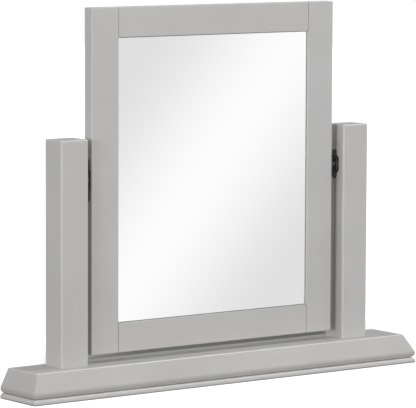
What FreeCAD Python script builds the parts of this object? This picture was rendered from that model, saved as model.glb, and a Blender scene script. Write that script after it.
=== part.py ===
"""Dressing table mirror: a framed mirror that tilts between two posts on a moulded base.

Millimetres. X runs along the base, Y from the front to the back, Z up. The origin is on the
table, under the middle of the base. The frame stands upright at rest.
"""
import FreeCAD, Part
import math
import os

# Mirror frame: two full-height stiles with two rails between them
FRAME_WIDTH = 440.0
FRAME_HEIGHT = 496.0
FRAME_THICKNESS = 18.0
STILE_WIDTH = 47.0
RAIL_WIDTH = 43.0
FRAME_ARRIS = 1.2
SEAM_EASE = 0.6

# Mirror, tape and panel in the frame, counted back from the front of the frame
GLASS_REVEAL = 3.0
GLASS_THICKNESS = 3.0
GLASS_CLEARANCE = 0.5
TAPE_THICKNESS = 1.0
TAPE_WIDTH = 20.0
TAPE_COUNT = 5
TAPE_EDGE_MARGIN = 18.0
PANEL_THICKNESS = 6.0
GROOVE_DEPTH = 8.0
PANEL_EDGE_CLEARANCE = 0.8
PANEL_FACE_CLEARANCE = 0.1

# Dowels of the frame's corner joints
FRAME_DOWEL_DIAMETER = 8.0
FRAME_DOWEL_LENGTH = 44.0
FRAME_DOWEL_SPACING = 16.0

# Posts
POST_WIDTH = 47.0
POST_DEPTH = 41.0
POST_ABOVE_PIVOT = 60.0
POST_EDGE_RADIUS = 2.6
POST_TOP_RADIUS = 2.4
POST_BACK_MARGIN = 10.5
POST_END_MARGIN = 69.75

# Base: a moulded board on a thin plinth board, shaped on the front and both ends, flat at the back
BASE_DEPTH = 86.0
PLINTH_THICKNESS = 7.2
PLINTH_NOSE_RADIUS = 6.0
PLINTH_NOSE_SWEEP_DEG = 72.0
PLINTH_ARRIS = 0.8
MOULDED_THICKNESS = 34.8
OVOLO_RADIUS = 7.0
OVOLO_SETBACK = 0.5
OVOLO_UNDERCUT_DEG = 78.0
CANT_ANGLE_DEG = 27.3
RIDGE_RADIUS = 2.2
BACK_ARRIS = 1.0
FRAME_GAP = 12.0

# Felt pads under the base
PAD_DIAMETER = 22.0
PAD_THICKNESS = 1.0
PAD_END_MARGIN = 34.0
PAD_SIDE_MARGIN = 17.0

# Fixings of the base and the posts, all driven from beneath
BOLT_SHANK_DIAMETER = 6.0
BOLT_HEAD_DIAMETER = 13.0
BOLT_HEAD_THICKNESS = 3.0
BOLT_HEAD_RECESS = 4.0
BOLT_HEAD_ROOM = 1.0
BOLT_SOCKET = 4.0
BOLT_SOCKET_DEPTH = 2.0
BOLT_GRIP = 45.0
POST_DOWEL_DIAMETER = 8.0
POST_DOWEL_LENGTH = 40.0
POST_DOWEL_SIDE = 9.25
BOARD_SCREW_COUNT = 6
BOARD_SCREW_GRIP = 17.8
BOARD_SCREW_POST_MARGIN = 30.0
BOARD_SCREW_STAGGER = 36.0

# Countersunk wood screws of the base boards and of the pivot plates
SCREW_SHANK_DIAMETER = 3.6
SCREW_HEAD_DIAMETER = 6.6
SCREW_HEAD_HEIGHT = 1.5
SCREW_POINT = 3.5
SCREW_CROSS_WIDTH = 0.9
SCREW_CROSS_SPAN = 3.6
SCREW_CROSS_DEPTH = 0.9
PLATE_SCREW_LENGTH = 16.0
FIXING_CLEARANCE = 0.05
HOLE_END_ROOM = 1.0

# Tilting pivot, one on each side, in the gap between the frame and the post, a little above
# the middle of the frame
PIVOT_RISE = 3.0
PIVOT_GAP = 13.25
POST_PLATE_LENGTH = 44.0
POST_PLATE_END_WIDTH = 9.6
POST_PLATE_THICKNESS = 1.6
CUP_LENGTH = 27.4
CUP_CORNER = 4.6
CUP_LIP = 0.8
CUP_WALL = 1.4
CUP_HEIGHT = 2.6
CUP_ROOM = 0.4
FRAME_PLATE_LENGTH = 62.0
FRAME_PLATE_END_WIDTH = 9.6
FRAME_PLATE_THICKNESS = 2.0
FRAME_PLATE_MIDDLE_LENGTH = 31.6
FRAME_PLATE_MIDDLE_WIDTH = 16.0
FRAME_PLATE_CORNER = 4.0
FRICTION_WASHER_DIAMETER = 14.4
FRICTION_WASHER_THICKNESS = 1.4
STUD_JOURNAL_DIAMETER = 8.0
STUD_COLLAR_SETBACK = 0.7
STUD_THREAD_DIAMETER = 6.0
STUD_SPIGOT_DIAMETER = 7.0
STUD_RIVET_DIAMETER = 10.0
STUD_RIVET_THICKNESS = 1.4
STUD_TAIL = 1.2
SPRING_WASHER_DIAMETER = 14.0
SPRING_WASHER_THICKNESS = 0.8
SPRING_WASHER_RISE = 0.7
NUT_ACROSS_FLATS = 10.0
NUT_THICKNESS = 5.0
POCKET_ROOM = 1.5
RIVET_RECESS_ROOM = 0.6
RUNNING_CLEARANCE = 0.05
AXIAL_CLEARANCE = 0.1

# Places worked out from the driving dimensions
POST_INNER_X = FRAME_WIDTH / 2 + PIVOT_GAP
POST_X = POST_INNER_X + POST_WIDTH / 2
BASE_LENGTH = 2 * (POST_INNER_X + POST_WIDTH + POST_END_MARGIN)
BASE_FRONT_Y = -BASE_DEPTH / 2
PIVOT_Y = BASE_DEPTH / 2 - POST_BACK_MARGIN - POST_DEPTH / 2
PLINTH_TOP_Z = PAD_THICKNESS + PLINTH_THICKNESS
BASE_TOP_Z = PLINTH_TOP_Z + MOULDED_THICKNESS
FRAME_BOTTOM_Z = BASE_TOP_Z + FRAME_GAP
FRAME_TOP_Z = FRAME_BOTTOM_Z + FRAME_HEIGHT
PIVOT_Z = FRAME_BOTTOM_Z + FRAME_HEIGHT / 2 + PIVOT_RISE
POST_TOP_Z = PIVOT_Z + POST_ABOVE_PIVOT
FRAME_FRONT_Y = PIVOT_Y - FRAME_THICKNESS / 2
FRAME_BACK_Y = PIVOT_Y + FRAME_THICKNESS / 2
STILE_OUTER_X = FRAME_WIDTH / 2
STILE_INNER_X = STILE_OUTER_X - STILE_WIDTH
OPENING_BOTTOM_Z = FRAME_BOTTOM_Z + RAIL_WIDTH
OPENING_TOP_Z = FRAME_TOP_Z - RAIL_WIDTH
GLASS_FRONT_Y = FRAME_FRONT_Y + GLASS_REVEAL
TAPE_FRONT_Y = GLASS_FRONT_Y + GLASS_THICKNESS
PANEL_FRONT_Y = TAPE_FRONT_Y + TAPE_THICKNESS
BOLT_LENGTH = PLINTH_THICKNESS + MOULDED_THICKNESS - BOLT_HEAD_RECESS + BOLT_GRIP
BOARD_SCREW_LENGTH = PLINTH_THICKNESS + BOARD_SCREW_GRIP
POST_PLATE_FACE_X = POST_INNER_X - POST_PLATE_THICKNESS
POST_PLATE_SCREWS = POST_PLATE_LENGTH - POST_PLATE_END_WIDTH
FRAME_PLATE_FACE_X = STILE_OUTER_X + FRAME_PLATE_THICKNESS
FRAME_PLATE_SCREWS = FRAME_PLATE_LENGTH - FRAME_PLATE_END_WIDTH
WASHER_FACE_X = POST_PLATE_FACE_X - FRICTION_WASHER_THICKNESS
NUT_START_X = POST_INNER_X + SPRING_WASHER_THICKNESS + SPRING_WASHER_RISE + AXIAL_CLEARANCE
NUT_END_X = NUT_START_X + NUT_THICKNESS

ALONG_X = FreeCAD.Vector(1, 0, 0)
ALONG_Y = FreeCAD.Vector(0, 1, 0)
ALONG_Z = FreeCAD.Vector(0, 0, 1)
SIDES = (-1, 1)
SAME_PLACE = 1e-6


def vec(x, y, z):
    """A point or a direction."""
    return FreeCAD.Vector(x, y, z)


def on_pivot(x):
    """The point of the pivot axis at one X."""
    return vec(x, PIVOT_Y, PIVOT_Z)


def line(a, b):
    """A straight edge."""
    return Part.LineSegment(a, b).toShape()


def arc(a, middle, b):
    """A circular edge through three points."""
    return Part.Arc(a, middle, b).toShape()


def prism(edges, sweep):
    """A prism on a closed outline of edges."""
    return Part.Face(Part.Wire(Part.sortEdges(edges)[0])).extrude(sweep)


def block(low, high):
    """A rectangular block between two corners."""
    size = high - low
    return Part.makeBox(size.x, size.y, size.z, low)


def rod(diameter, start, direction, length):
    """A round rod or hole from a point along a direction."""
    return Part.makeCylinder(diameter / 2, length, start, direction)


def pointed(solid, start, direction):
    """A solid made along +Z from the origin, moved to start and turned to the direction."""
    solid.Placement = FreeCAD.Placement(start, FreeCAD.Rotation(ALONG_Z, direction))
    return solid


def turned(outline, start, direction):
    """A solid of revolution from (along the axis, radius) points."""
    points = [vec(radius, 0, along) for along, radius in outline]
    face = Part.Face(Part.makePolygon(points + points[:1]))
    return pointed(face.revolve(vec(0, 0, 0), ALONG_Z, 360), start, direction)


def hexagon(across_flats, start, direction, length):
    """A hexagonal prism along a direction."""
    radius = across_flats / math.sqrt(3)
    turns = [math.radians(60 * i) for i in range(7)]
    ring = Part.makePolygon([vec(radius * math.cos(t), radius * math.sin(t), 0) for t in turns])
    return pointed(Part.Face(ring).extrude(ALONG_Z * length), start, direction)


def mirrored(solid):
    """The same piece on the left-hand side."""
    return solid.mirror(vec(0, 0, 0), ALONG_X)


def moulding_edges(at):
    """The moulded board's shaped edge, from its underside to its flat top.

    at(inset, height) is the point so far in from the base's edge and so far above the plinth.
    Returns the edges and the insets of their foot and of their top.
    """
    undercut, slope = math.radians(OVOLO_UNDERCUT_DEG), math.radians(CANT_ANGLE_DEG)
    centre = (OVOLO_SETBACK + OVOLO_RADIUS, OVOLO_RADIUS * math.sin(undercut))
    foot = centre[0] - OVOLO_RADIUS * math.cos(undercut)
    rise = OVOLO_RADIUS * math.sin(slope)
    tangent = (centre[0] - OVOLO_RADIUS * math.cos(slope), centre[1] + rise)
    ridge_inset = tangent[0] + (MOULDED_THICKNESS - tangent[1]) * math.tan(slope)
    turn = math.pi / 2 - slope
    reach = RIDGE_RADIUS * math.tan(turn / 2)
    ridge_foot = (ridge_inset - reach * math.sin(slope), MOULDED_THICKNESS - reach * math.cos(slope))
    top = ridge_inset + reach
    halfway = slope + turn / 2
    ridge_middle = (top - RIDGE_RADIUS * math.cos(halfway),
                    MOULDED_THICKNESS - RIDGE_RADIUS * (1 - math.sin(halfway)))
    edges = [
        arc(at(foot, 0), at(OVOLO_SETBACK, centre[1]), at(*tangent)),
        line(at(*tangent), at(*ridge_foot)),
        arc(at(*ridge_foot), at(*ridge_middle), at(top, MOULDED_THICKNESS)),
    ]
    return edges, foot, top


def plinth_edges(at):
    """The plinth's shaped edge, from its underside to its top, as moulding_edges gives it."""
    sweep = math.radians(PLINTH_NOSE_SWEEP_DEG)
    radius = min(PLINTH_NOSE_RADIUS, (PLINTH_THICKNESS - 2 * PLINTH_ARRIS) / math.sin(sweep))
    nose_height = PLINTH_THICKNESS - radius * math.sin(sweep)
    top = radius * (1 - math.cos(sweep))
    halfway = (radius * (1 - math.cos(sweep / 2)), nose_height + radius * math.sin(sweep / 2))
    shy = PLINTH_ARRIS * (1 - math.sqrt(0.5))
    edges = [
        arc(at(PLINTH_ARRIS, 0), at(shy, shy), at(0, PLINTH_ARRIS)),
        line(at(0, PLINTH_ARRIS), at(0, nose_height)),
        arc(at(0, nose_height), at(*halfway), at(top, PLINTH_THICKNESS)),
    ]
    return edges, PLINTH_ARRIS, top


def shaped_board(shaped_edges, bottom_z, thickness, back_arris):
    """A board shaped on its front and ends, mitred at the front corners, flat at the back."""
    half = BASE_LENGTH / 2

    def front(inset, height):
        return vec(-half, BASE_FRONT_Y + inset, bottom_z + height)

    def left(inset, height):
        return vec(-half + inset, BASE_FRONT_Y, bottom_z + height)

    def right(inset, height):
        return vec(half - inset, BASE_FRONT_Y, bottom_z + height)

    edges, foot, top = shaped_edges(front)
    back = [front(top, thickness), front(BASE_DEPTH - back_arris, thickness),
            front(BASE_DEPTH, thickness - back_arris), front(BASE_DEPTH, 0), front(foot, 0)]
    along = prism(edges + [line(a, b) for a, b in zip(back, back[1:])], ALONG_X * BASE_LENGTH)
    ends = shaped_edges(left)[0] + shaped_edges(right)[0]
    ends.append(line(left(top, thickness), right(top, thickness)))
    ends.append(line(left(foot, 0), right(foot, 0)))
    return along.common(prism(ends, ALONG_Y * BASE_DEPTH))


def countersunk_screw(head_face, direction, length):
    """A cross-headed wood screw with the middle of its head's face at head_face."""
    shank = SCREW_SHANK_DIAMETER / 2
    outline = [(0, 0), (0, SCREW_HEAD_DIAMETER / 2), (SCREW_HEAD_HEIGHT, shank)]
    outline += [(length - SCREW_POINT, shank), (length, 0)]
    reach, half = SCREW_CROSS_SPAN / 2, SCREW_CROSS_WIDTH / 2
    slots = [block(vec(-x, -y, 0), vec(x, y, SCREW_CROSS_DEPTH)) for x, y in ((reach, half), (half, reach))]
    return turned(outline, head_face, direction).cut([pointed(slot, head_face, direction) for slot in slots])


def screw_hole(head_face, direction, length):
    """The countersunk hole that a wood screw sits in."""
    shank = SCREW_SHANK_DIAMETER / 2 + FIXING_CLEARANCE
    end = length + HOLE_END_ROOM
    outline = [(0, 0), (0, SCREW_HEAD_DIAMETER / 2 + FIXING_CLEARANCE), (SCREW_HEAD_HEIGHT, shank)]
    return turned(outline + [(end, shank), (end, 0)], head_face, direction)


def dowel_holes(diameter, middle, direction, length):
    """The bores that a dowel sits in, half on each side of its middle."""
    bore, depth = diameter + 2 * FIXING_CLEARANCE, length / 2 + HOLE_END_ROOM
    return [rod(bore, middle, direction, depth), rod(bore, middle, -direction, depth)]


def board_screw_places():
    """Head faces of the base's board screws, staggered along the underside."""
    span = 2 * (POST_INNER_X - BOARD_SCREW_POST_MARGIN)
    step = span / (BOARD_SCREW_COUNT - 1)
    swing = BOARD_SCREW_STAGGER / 2
    return [vec(step * i - span / 2, swing * SIDES[i % 2], PAD_THICKNESS) for i in range(BOARD_SCREW_COUNT)]


def post_dowel_places():
    """Middles of the post dowels, where the posts meet the base."""
    shift = POST_WIDTH / 2 - POST_DOWEL_SIDE
    return [vec(i * POST_X + j * shift, PIVOT_Y, BASE_TOP_Z) for i in SIDES for j in SIDES]


def bolt_places():
    """Axes of the post bolts at the underside of the base."""
    return [vec(i * POST_X, PIVOT_Y, PAD_THICKNESS) for i in SIDES]


def fixing_holes():
    """Every hole that the fixings from beneath need in the base and the posts."""
    holes = [screw_hole(place, ALONG_Z, BOARD_SCREW_LENGTH) for place in board_screw_places()]
    for place in post_dowel_places():
        holes += dowel_holes(POST_DOWEL_DIAMETER, place, ALONG_Z, POST_DOWEL_LENGTH)
    for place in bolt_places():
        holes.append(rod(BOLT_HEAD_DIAMETER + 2 * BOLT_HEAD_ROOM, place, ALONG_Z, BOLT_HEAD_RECESS))
        reach = BOLT_HEAD_RECESS + BOLT_LENGTH + HOLE_END_ROOM
        holes.append(rod(BOLT_SHANK_DIAMETER + 2 * FIXING_CLEARANCE, place, ALONG_Z, reach))
    return holes


def plinth_board():
    """The thin board under the base with its rounded nose."""
    board = shaped_board(plinth_edges, PAD_THICKNESS, PLINTH_THICKNESS, PLINTH_ARRIS)
    return board.cut(fixing_holes())


def moulded_board():
    """The base's upper board: ovolo, canted face and rounded ridge."""
    board = shaped_board(moulding_edges, PLINTH_TOP_Z, MOULDED_THICKNESS, BACK_ARRIS)
    return board.cut(fixing_holes())


def felt_pads():
    """Felt discs at the corners of the base's underside."""
    x, y = BASE_LENGTH / 2 - PAD_END_MARGIN, BASE_DEPTH / 2 - PAD_SIDE_MARGIN
    return [rod(PAD_DIAMETER, vec(i * x, j * y, 0), ALONG_Z, PAD_THICKNESS) for i in SIDES for j in SIDES]


def board_screws():
    """Screws that hold the plinth board to the moulded board."""
    return [countersunk_screw(place, ALONG_Z, BOARD_SCREW_LENGTH) for place in board_screw_places()]


def post_dowels():
    """Dowels between the base and the posts."""
    drop = ALONG_Z * (POST_DOWEL_LENGTH / 2)
    starts = [place - drop for place in post_dowel_places()]
    return [rod(POST_DOWEL_DIAMETER, start, ALONG_Z, POST_DOWEL_LENGTH) for start in starts]


def post_bolts():
    """Socket-headed bolts that draw the posts down on the base."""
    bolts = []
    for place in bolt_places():
        seat = place + ALONG_Z * BOLT_HEAD_RECESS
        head_face = seat - ALONG_Z * BOLT_HEAD_THICKNESS
        head = rod(BOLT_HEAD_DIAMETER, head_face, ALONG_Z, BOLT_HEAD_THICKNESS)
        bolt = head.fuse(rod(BOLT_SHANK_DIAMETER, seat, ALONG_Z, BOLT_LENGTH))
        bolts.append(bolt.cut(hexagon(BOLT_SOCKET, head_face, ALONG_Z, BOLT_SOCKET_DEPTH)))
    return bolts


def plate_screw_places(spacing, face_x):
    """Head faces of a right-hand pivot plate's two screws."""
    return [on_pivot(face_x) + ALONG_Z * (spacing / 2 * side) for side in SIDES]


def is_flat_at(edge, z):
    """Whether an edge lies flat at one height."""
    box = edge.BoundBox
    return abs(box.ZMin - z) < SAME_PLACE and abs(box.ZMax - z) < SAME_PLACE


def right_post():
    """The right-hand post with its bores and the pocket behind the post plate."""
    low = vec(POST_INNER_X, PIVOT_Y - POST_DEPTH / 2, BASE_TOP_Z)
    high = vec(POST_INNER_X + POST_WIDTH, PIVOT_Y + POST_DEPTH / 2, POST_TOP_Z)
    post = block(low, high)
    uprights = [edge for edge in post.Edges if edge.BoundBox.ZLength > POST_WIDTH / 2 + POST_DEPTH / 2]
    post = post.makeFillet(POST_EDGE_RADIUS, uprights)
    post = post.makeFillet(POST_TOP_RADIUS, [edge for edge in post.Edges if is_flat_at(edge, POST_TOP_Z)])
    pocket = SPRING_WASHER_DIAMETER + 2 * POCKET_ROOM
    pocket_depth = NUT_END_X + STUD_TAIL + POCKET_ROOM - POST_INNER_X
    cuts = fixing_holes() + [rod(pocket, on_pivot(POST_INNER_X), ALONG_X, pocket_depth)]
    for place in plate_screw_places(POST_PLATE_SCREWS, POST_PLATE_FACE_X):
        cuts.append(screw_hole(place, ALONG_X, PLATE_SCREW_LENGTH))
    return post.cut(cuts)


def frame_dowel_places():
    """Middles of the frame's dowels on the right-hand seams, clear of the panel's groove."""
    middle = (RAIL_WIDTH - GROOVE_DEPTH) / 2
    rises = [middle + FRAME_DOWEL_SPACING / 2 * side for side in SIDES]
    heights = [FRAME_BOTTOM_Z + rise for rise in rises] + [FRAME_TOP_Z - rise for rise in rises]
    return [vec(STILE_INNER_X, PIVOT_Y, z) for z in heights]


def frame_dowel_holes():
    """Bores for the dowels of the right-hand seams."""
    holes = []
    for place in frame_dowel_places():
        holes += dowel_holes(FRAME_DOWEL_DIAMETER, place, ALONG_X, FRAME_DOWEL_LENGTH)
    return holes


def panel_groove():
    """The stopped groove that runs round the opening for the panel."""
    reach_x = STILE_INNER_X + GROOVE_DEPTH
    front_y = PANEL_FRONT_Y - PANEL_FACE_CLEARANCE
    back_y = PANEL_FRONT_Y + PANEL_THICKNESS + PANEL_FACE_CLEARANCE
    low = vec(-reach_x, front_y, OPENING_BOTTOM_Z - GROOVE_DEPTH)
    return block(low, vec(reach_x, back_y, OPENING_TOP_Z + GROOVE_DEPTH))


def eased_bar(low, high, radii):
    """A frame bar whose front and back edges are rounded on the sides named in radii."""
    bar = block(low, high)
    for side, radius in radii.items():
        bar = bar.makeFillet(radius, [edge for edge in bar.Edges if is_on_side(edge, side, low, high)])
    return bar


def is_on_side(edge, side, low, high):
    """Whether an edge is a front or back edge along one side of a bar: left, right, bottom or top."""
    box = edge.BoundBox
    ends = {"left": (box.XMin, box.XMax, low.x), "right": (box.XMin, box.XMax, high.x),
            "bottom": (box.ZMin, box.ZMax, low.z), "top": (box.ZMin, box.ZMax, high.z)}
    start, end, wanted = ends[side]
    along_side = abs(start - wanted) < SAME_PLACE and abs(end - wanted) < SAME_PLACE
    depths = [y for y in (low.y, high.y) if abs(box.YMin - y) < SAME_PLACE and abs(box.YMax - y) < SAME_PLACE]
    return along_side and bool(depths)


def right_stile():
    """The right-hand upright of the frame, with the seat of the pivot plate."""
    low = vec(STILE_INNER_X, FRAME_FRONT_Y, FRAME_BOTTOM_Z)
    high = vec(STILE_OUTER_X, FRAME_BACK_Y, FRAME_TOP_Z)
    radii = {"left": SEAM_EASE, "right": FRAME_ARRIS, "bottom": FRAME_ARRIS, "top": FRAME_ARRIS}
    stile = eased_bar(low, high, radii)
    recess = STUD_RIVET_DIAMETER + 2 * RIVET_RECESS_ROOM
    recess_depth = STUD_RIVET_THICKNESS + RIVET_RECESS_ROOM
    cuts = [panel_groove(), rod(recess, on_pivot(STILE_OUTER_X), -ALONG_X, recess_depth)]
    cuts += frame_dowel_holes()
    for place in plate_screw_places(FRAME_PLATE_SCREWS, FRAME_PLATE_FACE_X):
        cuts.append(screw_hole(place, -ALONG_X, PLATE_SCREW_LENGTH))
    return stile.cut(cuts)


def rail(bottom_z, outer, inner):
    """A rail between the stiles; outer and inner name its sides away from and towards the mirror."""
    low = vec(-STILE_INNER_X, FRAME_FRONT_Y, bottom_z)
    high = vec(STILE_INNER_X, FRAME_BACK_Y, bottom_z + RAIL_WIDTH)
    bar = eased_bar(low, high, {"left": SEAM_EASE, "right": SEAM_EASE, inner: SEAM_EASE, outer: FRAME_ARRIS})
    holes = frame_dowel_holes()
    return bar.cut([panel_groove()] + holes + [mirrored(hole) for hole in holes])


def frame_dowels():
    """Dowels of all four corners of the frame."""
    back = ALONG_X * (FRAME_DOWEL_LENGTH / 2)
    right = [rod(FRAME_DOWEL_DIAMETER, p - back, ALONG_X, FRAME_DOWEL_LENGTH) for p in frame_dowel_places()]
    return right + [mirrored(dowel) for dowel in right]


def back_panel():
    """The panel in the frame's groove that carries the mirror."""
    reach = GROOVE_DEPTH - PANEL_EDGE_CLEARANCE
    low = vec(-STILE_INNER_X - reach, PANEL_FRONT_Y, OPENING_BOTTOM_Z - reach)
    return block(low, vec(STILE_INNER_X + reach, PANEL_FRONT_Y + PANEL_THICKNESS, OPENING_TOP_Z + reach))


def mirror_glass():
    """The silvered glass, set back a little from the front of the frame."""
    half = STILE_INNER_X - GLASS_CLEARANCE
    low = vec(-half, GLASS_FRONT_Y, OPENING_BOTTOM_Z + GLASS_CLEARANCE)
    return block(low, vec(half, TAPE_FRONT_Y, OPENING_TOP_Z - GLASS_CLEARANCE))


def mirror_tape():
    """Upright strips of tape between the glass and the panel."""
    first = TAPE_EDGE_MARGIN - STILE_INNER_X
    step = (-2 * first - TAPE_WIDTH) / (TAPE_COUNT - 1)
    low = vec(first, TAPE_FRONT_Y, OPENING_BOTTOM_Z + TAPE_EDGE_MARGIN)
    high = vec(first + TAPE_WIDTH, PANEL_FRONT_Y, OPENING_TOP_Z - TAPE_EDGE_MARGIN)
    return [block(low + ALONG_X * (step * i), high + ALONG_X * (step * i)) for i in range(TAPE_COUNT)]


def octagon(width, length, corner, face_x, depth):
    """A block with cut corners on the pivot axis, from face_x towards +X."""
    y, z = width / 2, length / 2
    half_ring = [(-y, z - corner), (-y + corner, z), (y - corner, z), (y, z - corner)]
    corners = half_ring + [(-b, -c) for b, c in half_ring]
    points = [on_pivot(face_x) + vec(0, b, c) for b, c in corners]
    return Part.Face(Part.makePolygon(points + points[:1])).extrude(ALONG_X * depth)


def round_ended_strip(width, length, face_x, depth):
    """A strip with round ends on the pivot axis, from face_x towards +X."""
    rise = ALONG_Z * ((length - width) / 2)
    middle, half_width = on_pivot(face_x), ALONG_Y * (width / 2)
    strip = block(middle - rise - half_width, middle + rise + half_width + ALONG_X * depth)
    return strip.fuse([rod(width, middle + rise * side, ALONG_X, depth) for side in SIDES])


def right_post_plate():
    """The right-hand post's plate with the raised eight-sided cup of the friction washer."""
    face_x, thick = POST_PLATE_FACE_X, POST_PLATE_THICKNESS
    inner = FRICTION_WASHER_DIAMETER + 2 * CUP_ROOM
    outer = inner + 2 * CUP_WALL
    lip = 2 * CUP_LIP
    rim = octagon(outer, CUP_LENGTH - lip, CUP_CORNER, face_x - CUP_HEIGHT, CUP_HEIGHT)
    hollow_length = CUP_LENGTH - lip - 2 * CUP_WALL
    rim = rim.cut(octagon(inner, hollow_length, CUP_CORNER, face_x - CUP_HEIGHT, CUP_HEIGHT))
    plate = round_ended_strip(POST_PLATE_END_WIDTH, POST_PLATE_LENGTH, face_x, thick)
    plate = plate.fuse([octagon(outer + lip, CUP_LENGTH, CUP_CORNER, face_x, thick), rim]).removeSplitter()
    cuts = [rod(STUD_JOURNAL_DIAMETER + 2 * RUNNING_CLEARANCE, on_pivot(face_x), ALONG_X, thick)]
    for place in plate_screw_places(POST_PLATE_SCREWS, face_x):
        cuts.append(screw_hole(place, ALONG_X, PLATE_SCREW_LENGTH))
    return plate.cut(cuts)


def right_frame_plate():
    """The plate on the right-hand stile's edge that carries the stud."""
    face_x, thick = STILE_OUTER_X, FRAME_PLATE_THICKNESS
    middle = octagon(FRAME_PLATE_MIDDLE_WIDTH, FRAME_PLATE_MIDDLE_LENGTH, FRAME_PLATE_CORNER, face_x, thick)
    plate = round_ended_strip(FRAME_PLATE_END_WIDTH, FRAME_PLATE_LENGTH, face_x, thick)
    plate = plate.fuse(middle).removeSplitter()
    cuts = [rod(STUD_SPIGOT_DIAMETER + 2 * FIXING_CLEARANCE, on_pivot(face_x), ALONG_X, thick)]
    for place in plate_screw_places(FRAME_PLATE_SCREWS, FRAME_PLATE_FACE_X):
        cuts.append(screw_hole(place, -ALONG_X, PLATE_SCREW_LENGTH))
    return plate.cut(cuts)


def right_pivot_stud():
    """The stud: riveted to the frame plate, collared, and running in the post plate's bore."""
    collar = FRICTION_WASHER_DIAMETER - 2 * STUD_COLLAR_SETBACK
    start_x = STILE_OUTER_X - STUD_RIVET_THICKNESS
    ends = [(STILE_OUTER_X, STUD_RIVET_DIAMETER), (FRAME_PLATE_FACE_X, STUD_SPIGOT_DIAMETER),
            (WASHER_FACE_X - AXIAL_CLEARANCE, collar), (NUT_START_X, STUD_JOURNAL_DIAMETER),
            (NUT_END_X + STUD_TAIL, STUD_THREAD_DIAMETER)]
    outline = [(0, 0)]
    for end_x, diameter in ends:
        outline += [(outline[-1][0], diameter / 2), (end_x - start_x, diameter / 2)]
    outline.append((outline[-1][0], 0))
    return turned(outline, on_pivot(start_x), ALONG_X)


def right_friction_washer():
    """The washer in the post plate's cup that the stud's collar rubs on."""
    start, thick = on_pivot(WASHER_FACE_X), FRICTION_WASHER_THICKNESS
    bore = rod(STUD_JOURNAL_DIAMETER + 2 * RUNNING_CLEARANCE, start, ALONG_X, thick)
    return rod(FRICTION_WASHER_DIAMETER, start, ALONG_X, thick).cut(bore)


def right_spring_washer():
    """The dished spring washer behind the post plate."""
    inner = STUD_JOURNAL_DIAMETER / 2 + RUNNING_CLEARANCE
    outer = SPRING_WASHER_DIAMETER / 2
    rise, thick = SPRING_WASHER_RISE, SPRING_WASHER_THICKNESS
    outline = [(0, outer), (thick, outer), (rise + thick, inner), (rise, inner)]
    return turned(outline, on_pivot(POST_INNER_X), ALONG_X)


def right_lock_nut():
    """The nut on the stud's threaded end, inside the post."""
    start = on_pivot(NUT_START_X)
    thread = rod(STUD_THREAD_DIAMETER + 2 * FIXING_CLEARANCE, start, ALONG_X, NUT_THICKNESS)
    return hexagon(NUT_ACROSS_FLATS, start, ALONG_X, NUT_THICKNESS).cut(thread)


def plate_screws(spacing, face_x, direction):
    """The four screws of the two post plates or of the two frame plates."""
    right = [countersunk_screw(p, direction, PLATE_SCREW_LENGTH) for p in plate_screw_places(spacing, face_x)]
    return right + [mirrored(screw) for screw in right]


def pair(name, solid):
    """A right-hand piece and its mirror image, by node name."""
    return {f"left_{name}": [mirrored(solid)], f"right_{name}": [solid]}


def assembly():
    """Every node of the mirror with its solids."""
    nodes = {
        "felt_pads": felt_pads(),
        "base_plinth_board": [plinth_board()],
        "base_moulded_board": [moulded_board()],
        "board_screws": board_screws(),
        "post_dowels": post_dowels(),
        "post_bolts": post_bolts(),
        "top_rail": [rail(OPENING_TOP_Z, "top", "bottom")],
        "bottom_rail": [rail(FRAME_BOTTOM_Z, "bottom", "top")],
        "frame_dowels": frame_dowels(),
        "back_panel": [back_panel()],
        "mirror_tape": mirror_tape(),
        "mirror_glass": [mirror_glass()],
        "post_plate_screws": plate_screws(POST_PLATE_SCREWS, POST_PLATE_FACE_X, ALONG_X),
        "frame_plate_screws": plate_screws(FRAME_PLATE_SCREWS, FRAME_PLATE_FACE_X, -ALONG_X),
    }
    nodes.update(pair("post", right_post()))
    nodes.update(pair("stile", right_stile()))
    nodes.update(pair("post_plate", right_post_plate()))
    nodes.update(pair("frame_plate", right_frame_plate()))
    nodes.update(pair("pivot_stud", right_pivot_stud()))
    nodes.update(pair("friction_washer", right_friction_washer()))
    nodes.update(pair("spring_washer", right_spring_washer()))
    nodes.update(pair("lock_nut", right_lock_nut()))
    return nodes


def main():
    """Write one STEP file per node."""
    os.makedirs("parts", exist_ok=True)
    for name, solids in assembly().items():
        shape = Part.makeCompound([piece for solid in solids for piece in solid.Solids])
        shape.exportStep(f"parts/{name}.step")
        volume = sum(piece.Volume for piece in shape.Solids)
        print(f"{name}: solids {len(shape.Solids)}, {volume / 1000:.2f} cm3, valid {shape.isValid()}")


main()
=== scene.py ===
"""Looks of the dressing table mirror: satin painted wood, silvered glass, black pivots and the fixings.

Metres. X runs along the base to the right, Y from the mirror's front to its back, Z up from the table.
"""

import logging
import math
from abc import ABC, abstractmethod
from dataclasses import dataclass
from enum import Enum

import bmesh
import bpy
from mathutils import Matrix, Vector


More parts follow.
